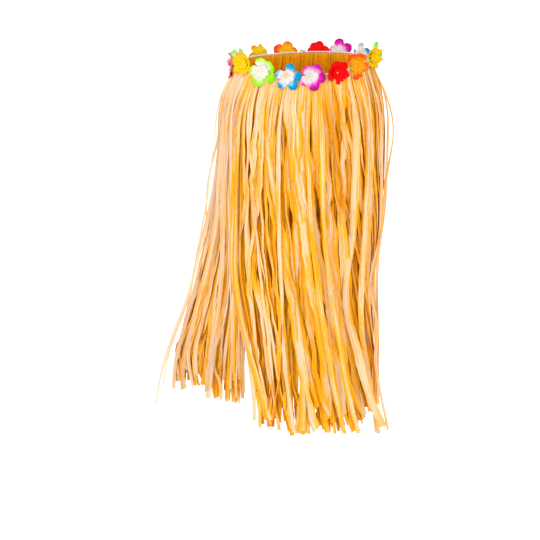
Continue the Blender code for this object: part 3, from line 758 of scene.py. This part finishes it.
def tube(bm, centres, radius, sides, closed=False):
    """A tube along the points. radius is a number, or a function of the point's index and the angle round it."""
    rings, frame_up = [], Vector((0, 0, 1))
    count = len(centres)
    for i, centre in enumerate(centres):
        before = centres[i - 1] if i or closed else centres[0]
        after = centres[(i + 1) % count] if i + 1 < count or closed else centres[-1]
        along = (after - before).normalized()
        if i == 0 and abs(along.dot(frame_up)) > 0.9:
            frame_up = Vector((1, 0, 0))
        up = (frame_up - along * frame_up.dot(along)).normalized()
        frame_up = up
        sideways = along.cross(up)
        ring = []
        for k in range(sides):
            angle = tau * k / sides
            out = radius(i, angle) if callable(radius) else radius
            ring.append(bm.verts.new(centre + (up * cos(angle) + sideways * sin(angle)) * out))
        rings.append(ring)
    pairs = list(zip(rings, rings[1:])) + ([(rings[-1], rings[0])] if closed else [])
    for a, b in pairs:
        for k in range(sides):
            bm.faces.new((a[k], a[(k + 1) % sides], b[(k + 1) % sides], b[k]))
    if not closed:
        bm.faces.new(rings[0])
        bm.faces.new(rings[-1])


def twisted(step):
    """The radius of a cord of three plies, laid round each other."""
    lay = tau * step / CORD_LAY

    def radius(i, angle):
        ply = CORD_PLIES * (angle - lay * i) / 2
        return CORD_RADIUS * (1.0 - CORD_GROOVE + CORD_GROOVE * abs(cos(ply)))

    return radius


def build_cord(material):
    reach = KNOT_HALF_LENGTH * CORD_IN_KNOT
    first, last = GIRTH / 2 + reach, GIRTH * 1.5 - reach
    count = int((last - first) / CORD_STEP)
    centres = [cord_point(first + (last - first) * i / count) for i in range(count + 1)]
    bm = bmesh.new()
    tube(bm, centres, twisted(CORD_STEP), CORD_SIDES)
    piece = add_object("cord_twisted", mesh_of(bm, "cord_twisted"), material)
    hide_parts("waist_cord")
    return piece


def build_knot(material):
    """An overhand knot round the cord at the centre back, with its two cut ends."""
    centre = cord_point(GIRTH / 2) + Vector((0, 0, KNOT_RADIUS - CORD_RADIUS))
    bm = bmesh.new()
    turns = []
    for i in range(KNOT_STEPS):
        t = tau * i / KNOT_STEPS
        x, y, z = sin(t) + 2 * sin(2 * t), cos(t) - 2 * cos(2 * t), -sin(3 * t)
        turns.append(centre + Vector((x * KNOT_SIZE.x, z * KNOT_SIZE.y, y * KNOT_SIZE.z)))
    tube(bm, turns, lambda i, angle: CORD_RADIUS * KNOT_CORD, KNOT_SIDES, closed=True)
    step = KNOT_END_LENGTH / KNOT_END_STEPS
    for side in (-1, 1):
        down = Vector((side * sin(KNOT_END_SPREAD), sin(KNOT_END_LEAN), -cos(KNOT_END_LEAN)))
        down.normalize()
        start = centre + Vector((side * KNOT_HALF_LENGTH / 2, 0, 0))
        path = [start + down * (step * i) for i in range(KNOT_END_STEPS + 1)]
        tube(bm, path, twisted(step), CORD_SIDES)
    piece = add_object("knot_tied", mesh_of(bm, "knot_tied"), material)
    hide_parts("waist_knot")
    return piece


def build_stitches(material, dice):
    """Whip stitches that hang the header from the cord, and two rows of running stitch through it."""
    bm = bmesh.new()
    high = CORD_RADIUS + WHIP_OFF_CORD
    middle = HEAD_OUTER_FACE - HEAD_THICKNESS / 2
    for i in range(WHIPS):
        along = GIRTH * (i + dice.uniform(-WHIP_UNEVEN, WHIP_UNEVEN)) / WHIPS
        foot, outward = cord_point(along), outward_at(along)
        beside = Vector((-outward.y, outward.x, 0))
        loop = []
        for k in range(WHIP_STEPS):
            t = tau * k / WHIP_STEPS
            below = 0.5 - 0.5 * cos(t)
            tall = high if cos(t) > 0 else CORD_RADIUS + SEAM + WHIP_BITE
            wide = high + (HEAD_THICKNESS / 2 + WHIP_OFF_HEAD - high) * below
            out = middle * below + wide * sin(t)
            loop.append(
                foot + outward * out + Vector((0, 0, tall * cos(t))) + beside * (WHIP_SLANT * sin(t))
            )
        tube(bm, loop, THREAD, THREAD_SIDES, closed=True)
    for level in RUNNING_LEVELS:
        down = Vector((0, 0, CORD_RADIUS + SEAM + HEAD_HEIGHT * level))
        for i in range(int(GIRTH / RUNNING_PITCH)):
            path = []
            for k in range(RUNNING_STEPS + 1):
                share = k / RUNNING_STEPS
                along = (i + share * RUNNING_SHOWN) * RUNNING_PITCH
                out = HEAD_OUTER_FACE + RUNNING_HIGH * sin(pi * share) + RUNNING_OFF_HEAD
                path.append(cord_point(along) + outward_at(along) * out - down)
            tube(bm, path, THREAD, THREAD_SIDES)
    piece = add_object("header_stitches", mesh_of(bm, "header_stitches"), material)
    return piece


# ---- the flowers


def petal_at(angle, petals, form):
    """The rim's reach at an angle, and how near the angle is to each petal."""
    half_width, pointed, notch, _ = form
    reach, near = notch, []
    for place, length, _ in petals:
        off = abs((angle - place + 180) % 360 - 180) / half_width
        near.append(exp(-2.0 * off**2))
        if off < 1:
            full, end = ROUND_LOBE
            lobe = (1 - off**full) ** end * (1 - pointed) + (1 - off) ** POINTED_LOBE * pointed
            reach = max(reach, notch + (length - notch) * lobe)
    return reach, near


def petal_layer(bm, uv, row, layer, dice):
    """One stamped layer: rings of points from the eye to the ruffled rim, with how pale each petal is."""
    _, colour, _, _, diameter, _, _, cup, spin = row
    petals, form = PETALS[colour], PETAL_FORMS[colour]
    size, turned, lifted, cupped, paler = layer
    pale_layer = bm.verts.layers.float.get("pale") or bm.verts.layers.float.new("pale")
    ruffle, starts = form[3], [dice.uniform(0, tau) for _ in range(RUFFLE_DRAWS)]
    tilts = [dice.uniform(-PETAL_TILT, PETAL_TILT) for _ in petals]
    rings = []
    for j in range(PETAL_RINGS + 1):
        ring = []
        for k in range(PETAL_ANGLES):
            angle = 360 * k / PETAL_ANGLES
            reach, near = petal_at(angle, petals, form)
            rho = (EYE + (1 - EYE) * j / PETAL_RINGS) * reach
            total = sum(near)
            tilt = sum(n * t for n, t in zip(near, tilts)) / total
            pale = sum(n * petal[2] for n, petal in zip(near, petals)) / total
            turn = radians(angle + turned + spin)
            height = cup * cupped * rho**CUP_GROWTH * (1.0 + tilt) * size + lifted
            height += PETAL_CREST * size * (max(near) - 0.5) * rho**CUP_GROWTH
            for (round_it, outwards, growth, part), start in zip(RUFFLES, starts):
                wave_at = round_it * radians(angle) + outwards * rho + start
                height += part * ruffle * rho**growth * sin(wave_at)
            out = diameter / 2 * size * rho
            vert = bm.verts.new((out * sin(turn), out * cos(turn), height))
            vert[pale_layer] = pale + paler
            ring.append((vert, rho * size))
        rings.append(ring)
    for inner, outer in zip(rings, rings[1:]):
        for k in range(PETAL_ANGLES):
            after = (k + 1) % PETAL_ANGLES
            corners = (inner[k], inner[after], outer[after], outer[k])
            face = bm.faces.new([vert for vert, _ in corners])
            for loop, (_, out), step in zip(face.loops, corners, (0, 1, 1, 0)):
                loop[uv].uv = ((k + step) * UV_ROUND / PETAL_ANGLES, out)
    eye = bm.faces.new([vert for vert, _ in rings[0]])
    for loop in eye.loops:
        loop[uv].uv = (0.0, 0.0)


def flower_frame(row):
    """Where a flower sits: its place on the cord, and its own directions, facing out."""
    _, _, along, above, _, nod, turned, *_ = row
    outward = outward_at(along)
    facing = Matrix.Rotation(radians(turned), 3, "Z") @ outward
    sideways = Vector((0, 0, 1)).cross(facing)
    facing = Matrix.Rotation(radians(nod), 3, sideways) @ facing
    turn = Matrix((sideways, facing.cross(sideways), facing)).transposed().to_4x4()
    place = cord_point(along) + Vector((0, 0, above)) + outward * (CORD_RADIUS + SEAM)
    return Matrix.Translation(place) @ turn


def build_flower(row, material, dice):
    side, colour, _, _, diameter, *_ = row
    name = f"flower_{side}_{colour}"
    bm = bmesh.new()
    uv = bm.loops.layers.uv.new("petal")
    for layer in PETAL_LAYERS:
        petal_layer(bm, uv, row, layer, dice)
    area = sum(face.calc_area() for face in bm.faces)
    mesh = mesh_of(bm, name)
    sharpen_rims(mesh)
    piece = add_object(name.replace("flower", "petals"), mesh, material)
    piece.matrix_world = flower_frame(row)
    give_wall(piece, PETAL_WALL)
    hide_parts(name)
    return piece


def build_centres(material):
    """The knotted thread that sews each flower on, through its middle."""
    bm = bmesh.new()
    for row in FLOWERS:
        sits = flower_frame(row)
        path = []
        for i in range(KNOTTED_STEPS):
            t = i / (KNOTTED_STEPS - 1)
            angle = tau * KNOTTED_TURNS * t
            out = KNOTTED_REACH * sin(pi * (KNOTTED_FROM + KNOTTED_OVER * t))
            height = KNOTTED_HEIGHT * (1.0 + t)
            path.append(sits @ Vector((out * cos(angle), out * sin(angle), height)))
        tube(bm, path, KNOTTED_THREAD, KNOTTED_SIDES)
    piece = add_object("flower_stitches", mesh_of(bm, "flower_stitches"), material)
    return piece


# ---- materials


class Nodes:
    """A material's nodes, with short calls to add and link them."""

    def __init__(self, name):
        self.material = bpy.data.materials.new(name)
        self.material.use_nodes = True
        self.tree = self.material.node_tree
        self.shader = self.tree.nodes["Principled BSDF"]

    def add(self, kind, inputs=(), **settings):
        node = self.tree.nodes.new(kind)
        for key, value in settings.items():
            setattr(node, key, value)
        for socket, value in dict(inputs).items():
            self.put(node.inputs[socket], value)
        return node

    def put(self, socket, value):
        if isinstance(value, bpy.types.NodeSocket):
            self.tree.links.new(value, socket)
        else:
            socket.default_value = value

    def shade(self, inputs):
        """The material, with these values and links in its shader."""
        for socket, value in inputs.items():
            self.put(self.shader.inputs[socket], value)
        return self.material

    def ramp(self, factor, *stops):
        node = self.add("ShaderNodeValToRGB", {"Fac": factor})
        elements = node.color_ramp.elements
        while len(elements) < len(stops):
            elements.new(0.5)
        for element, (place, colour) in zip(elements, stops):
            element.position = place
            element.color = colour
        return node.outputs["Color"]

    def dye(self, factor, places, colours):
        """A ramp of colours as they look under the studio's lights."""
        return self.ramp(factor, *((place, seen(*colour)) for place, colour in zip(places, colours)))

    def math(self, operation, *values):
        node = self.add("ShaderNodeMath", operation=operation)
        for socket, value in zip(node.inputs, values):
            self.put(socket, value)
        return node.outputs["Value"]

    def mapped(self, vector, scale, rotation=(0, 0, 0)):
        node = self.add("ShaderNodeMapping", {"Vector": vector, "Scale": scale, "Rotation": rotation})
        return node.outputs["Vector"]

    def noise(self, vector, scale, detail=3.0, roughness=0.55):
        inputs = {"Vector": vector, "Scale": scale, "Detail": detail, "Roughness": roughness}
        return self.add("ShaderNodeTexNoise", inputs).outputs["Fac"]

    def bump(self, height, strength, distance, normal=None, **settings):
        inputs = {"Height": height, "Strength": strength, "Distance": distance}
        if normal is not None:
            inputs["Normal"] = normal
        return self.add("ShaderNodeBump", inputs, **settings).outputs["Normal"]


def raffia_material():
    """Satiny raffia: fibres along each ribbon and slanting crinkles, cream in the open and amber underneath as
    painted shade.
    """
    n = Nodes("raffia")
    place = n.add("ShaderNodeUVMap", uv_map="ribbon").outputs["UV"]
    # the tone attribute holds painted shade and painted light as well as each ribbon's own random tone
    tone = n.add("ShaderNodeAttribute", attribute_name="tone").outputs["Fac"]
    fibres, bands, slant, shaded_creases, crumples = (
        n.noise(n.mapped(place, (*scale, 1), (0, 0, radians(slanting))), 1.0, *detail)
        for scale, slanting, *detail in RAFFIA_NOISES
    )
    # thin amber lines along the creases, pressed in by the bump: painted shade in the folds
    shaded_creases = n.math("ABSOLUTE", n.math("SUBTRACT", shaded_creases, 0.5))
    ridges = {"Value": shaded_creases, "From Max": CREASE_WIDTH, "To Min": 1.0, "To Max": 0.0}
    shaded_creases = n.add("ShaderNodeMapRange", ridges).outputs["Result"]
    blend = n.math("SUBTRACT", tone, TONE_ZERO)
    for part, share in zip((fibres, bands, shaded_creases, slant, crumples), RAFFIA_SHARES):
        blend = n.math("MULTIPLY_ADD", part, share, blend)
    yellow, peach = (n.dye(blend, RAFFIA_STOPS, colours) for colours in (RAFFIA_YELLOW, RAFFIA_PEACH))
    hue = n.math("MULTIPLY_ADD", n.noise(n.mapped(place, HUE_PATCHES), 1.0, 1.0), *HUE_SHIFT)
    mix = n.add("ShaderNodeMix", data_type="RGBA", clamp_factor=True)
    for socket, value in zip(("Factor_Float", "A_Color", "B_Color"), (hue, yellow, peach)):
        n.put(next(item for item in mix.inputs if item.identifier == socket), value)
    colour = next(item for item in mix.outputs if item.identifier == "Result_Color")
    rough = n.math("MULTIPLY_ADD", fibres, 0.25, 0.34)
    normal = n.bump(fibres, 0.35, 0.0003)
    normal = n.bump(slant, 0.6, 0.001, normal)
    normal = n.bump(crumples, 0.5, 0.0028, normal)
    normal = n.bump(shaded_creases, 0.7, 0.0012, normal, invert=True)
    return n.shade({"Base Color": colour, "Roughness": rough, "Specular IOR Level": 0.14, "Normal": normal})


def cord_material():
    n = Nodes("cord")
    place = n.add("ShaderNodeTexCoord").outputs["Object"]
    fuzz = n.noise(place, 2600.0, 3.0)
    colour = n.dye(fuzz, (0.3, 0.7), ((236, 224, 204), (255, 250, 240)))
    normal = n.bump(fuzz, 0.4, 0.0003)
    return n.shade({"Base Color": colour, "Roughness": 0.78, "Sheen Weight": 0.2, "Normal": normal})


def petal_material(colour):
    """Stamped cloth, dyed from the rim inwards, with pressed veins."""
    eye, middle, rim, deep = PETAL_COLOURS[colour]
    n = Nodes(f"petal_{colour}")
    uv = n.add("ShaderNodeUVMap", uv_map="petal").outputs["UV"]
    out = n.add("ShaderNodeSeparateXYZ", {"Vector": uv}).outputs["Y"]
    pale = n.add("ShaderNodeAttribute", attribute_name="pale").outputs["Fac"]
    place = n.add("ShaderNodeTexCoord").outputs["Object"]
    patches = n.noise(place, 85.0, 2.0)
    veins = n.noise(n.mapped(uv, (8.0, 0.9, 1)), 1.6, 2.0)
    weave = n.noise(place, 3200.0, 2.0)
    dye = n.math("SUBTRACT", out, DYE_ZERO)
    for part, share in zip((patches, veins, pale), DYE_SHARES):
        dye = n.math("MULTIPLY_ADD", part, share, dye)
    dyed = n.dye(dye, DYE_STOPS, (eye, middle, middle, rim, deep))
    normal = n.bump(weave, 0.2, 0.0002, n.bump(veins, 0.6, 0.0014))
    return n.shade({"Base Color": dyed, "Roughness": 0.72, "Specular IOR Level": 0.12, "Normal": normal})


def studio_material():
    n = Nodes("studio_floor")
    place = n.add("ShaderNodeTexCoord").outputs["Object"]
    pale = n.ramp(n.noise(place, 3.0), (0.3, (0.93, 0.93, 0.93, 1)), (0.7, (0.95, 0.95, 0.95, 1)))
    return n.shade({"Base Color": pale, "Roughness": 0.9})


# ---- the whole


def mesh_of(bm, name):
    bmesh.ops.recalc_face_normals(bm, faces=bm.faces)
    mesh = bpy.data.meshes.new(name)
    bm.to_mesh(mesh)
    bm.free()
    mesh.shade_smooth()
    return mesh


def linked(name, data):
    item = bpy.data.objects.new(name, data)
    bpy.context.scene.collection.objects.link(item)
    return item


def add_object(name, mesh, material):
    mesh.materials.append(material)
    return linked(name, mesh)


def give_wall(piece, thickness):
    wall = piece.modifiers.new("wall", "SOLIDIFY")
    wall.thickness, wall.offset = thickness, 0.0


def build_studio():
    floor_mesh = bpy.data.meshes.new("studio_floor")
    corners = [(x * FLOOR_REACH, y * FLOOR_REACH, 0) for x, y in ((-1, -1), (1, -1), (1, 1), (-1, 1))]
    floor_mesh.from_pydata(corners, [], [(0, 1, 2, 3)])
    floor = add_object("studio_floor", floor_mesh, studio_material())
    floor.location = (0, 0, FLOOR_LEVEL)
    world = bpy.data.worlds.new("studio")
    bpy.context.scene.world = world
    world.use_nodes = True
    sky = world.node_tree.nodes["Background"].inputs
    sky["Color"].default_value = (1, 1, 1, 1)
    sky["Strength"].default_value = WORLD_STRENGTH
    for name, place, size, power in LIGHTS:
        light = bpy.data.lights.new(name, "AREA")
        light.shape, light.size, light.energy = "SQUARE", size, power
        lamp = linked(name, light)
        lamp.location = place
        lamp.rotation_euler = (LIT - Vector(place)).to_track_quat("-Z", "Y").to_euler()


def build_camera():
    data = bpy.data.cameras.new("camera")
    data.lens, data.sensor_width = CAMERA_LENS, CAMERA_SENSOR
    camera = linked("camera", data)
    camera.location = CAMERA_PLACE
    camera.rotation_euler = (CAMERA_PITCH, 0, 0)
    bpy.context.scene.camera = camera


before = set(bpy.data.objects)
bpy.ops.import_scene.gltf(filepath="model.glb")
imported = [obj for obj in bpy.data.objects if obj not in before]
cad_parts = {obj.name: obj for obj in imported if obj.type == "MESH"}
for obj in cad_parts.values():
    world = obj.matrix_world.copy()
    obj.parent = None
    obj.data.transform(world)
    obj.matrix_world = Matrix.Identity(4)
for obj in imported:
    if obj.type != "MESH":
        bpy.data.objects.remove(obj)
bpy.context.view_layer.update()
bpy.context.scene.view_settings.view_transform = "Standard"
dice = random.Random(SEED)
build_camera()
build_studio()
raffia = raffia_material()
cord_finish = cord_material()
petal_finishes = {colour: petal_material(colour) for colour in PETALS}
cord = build_cord(cord_finish)
pieces = [cord, build_knot(cord_finish), build_stitches(cord_finish, dice)]
pieces += build_raffia(raffia, dice)
pieces += [build_flower(row, petal_finishes[row[1]], dice) for row in FLOWERS]
pieces.append(build_centres(cord_finish))
for piece in pieces:
    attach(piece, BODY)
bpy.context.view_layer.update()
